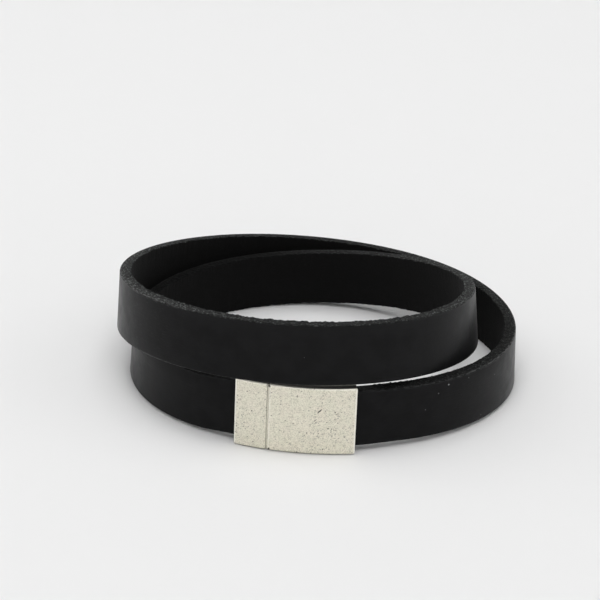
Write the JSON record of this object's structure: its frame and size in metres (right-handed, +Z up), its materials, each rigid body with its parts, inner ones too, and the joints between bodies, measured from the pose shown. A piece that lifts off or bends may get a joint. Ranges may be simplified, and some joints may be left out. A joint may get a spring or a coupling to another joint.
{
  "type": "double-wrap leather bracelet with magnetic clasp",
  "caption": "Flat leather strap wound twice round and joined by a curved two-part cast clasp, lying on its edge.",
  "frame": {"origin": "middle of the bracelet's footprint, on the surface it lies on", "axes": "+Z up through the open hollow, -Y towards the clasp's outer face, -X towards the clasp's short half"},
  "size_m": [0.0692, 0.0688, 0.023],
  "materials": {
    "strap_leather": "smooth black leather, satin on the grain side, matt on the flesh side, dyed rough cut edges",
    "clasp_metal": "antique silver plated zinc casting, satin, finely pitted",
    "magnet_metal": "nickel plated magnet"
  },
  "bodies": {
    "root": {"strap": "strap_leather", "clasp_short_half": "clasp_metal", "clasp_long_half": "clasp_metal", "tongue_magnet": "magnet_metal", "socket_magnet": "magnet_metal"}
  },
  "joints": []
}
